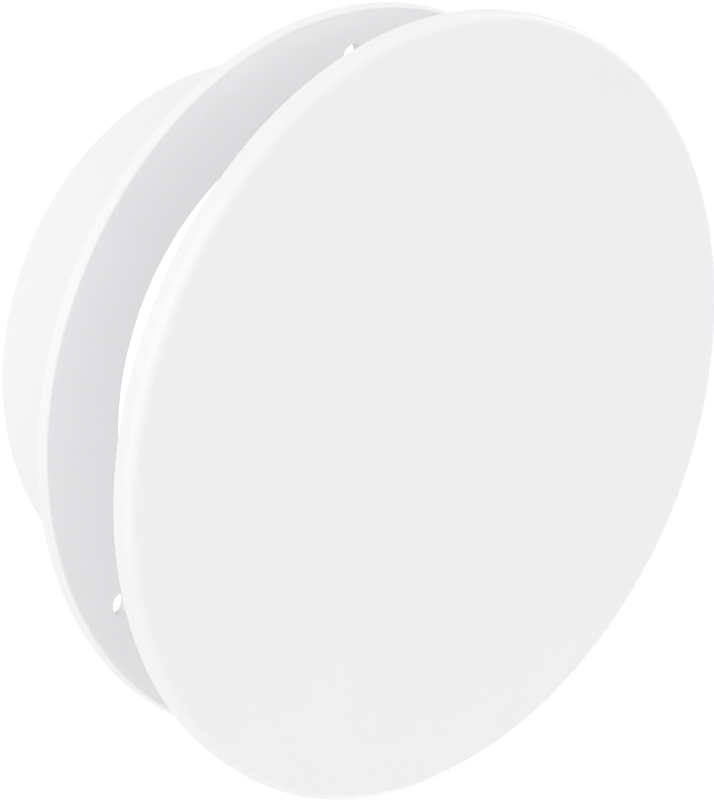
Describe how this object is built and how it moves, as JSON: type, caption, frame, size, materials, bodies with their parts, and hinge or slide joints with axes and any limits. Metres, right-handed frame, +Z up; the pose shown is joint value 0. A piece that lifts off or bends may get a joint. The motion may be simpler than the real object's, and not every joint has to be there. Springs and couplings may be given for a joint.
{
  "type": "round air outlet",
  "caption": "Round air outlet with a flat front disc on a threaded spindle, a dished flange that covers the edge of the hole in the wall, and a round collar that fits inside a duct.",
  "frame": {"origin": "the duct's axis where it meets the plane of the wall", "axes": "+Y along the axis into the duct, +Z up, the room towards -Y"},
  "size_m": [0.166, 0.0733, 0.166],
  "materials": {
    "white_abs": "white moulded ABS with a fine satin surface",
    "black_rubber": "soft moulded rubber, matt",
    "brass": "turned brass",
    "zinc_steel": "bright zinc-plated steel"
  },
  "bodies": {
    "housing": {"housing": "white_abs", "wall_gasket": "black_rubber", "hub_insert": "brass", "hub_washer": "zinc_steel", "lock_nut": "zinc_steel"},
    "spindle": {"spindle": "zinc_steel"},
    "disc": {"front_disc": "white_abs", "disc_insert": "brass", "disc_washer": "zinc_steel", "disc_nut": "zinc_steel", "stop_nut": "zinc_steel"}
  },
  "joints": [
    {"name": "spindle_slide", "type": "slide", "parent": "housing", "child": "spindle", "axis": [0, -1, 0], "range_m": [-0.024, 0.00501]},
    {"name": "disc_turn", "type": "hinge", "parent": "spindle", "child": "disc", "pos_m": [0, 0, 0], "axis": [0, -1, 0], "range_deg": [-6912, 1440]}
  ],
  "couplings": [
    {"joint": "spindle_slide", "follows": "disc_turn", "m_per_rad": 0.00019894}
  ]
}
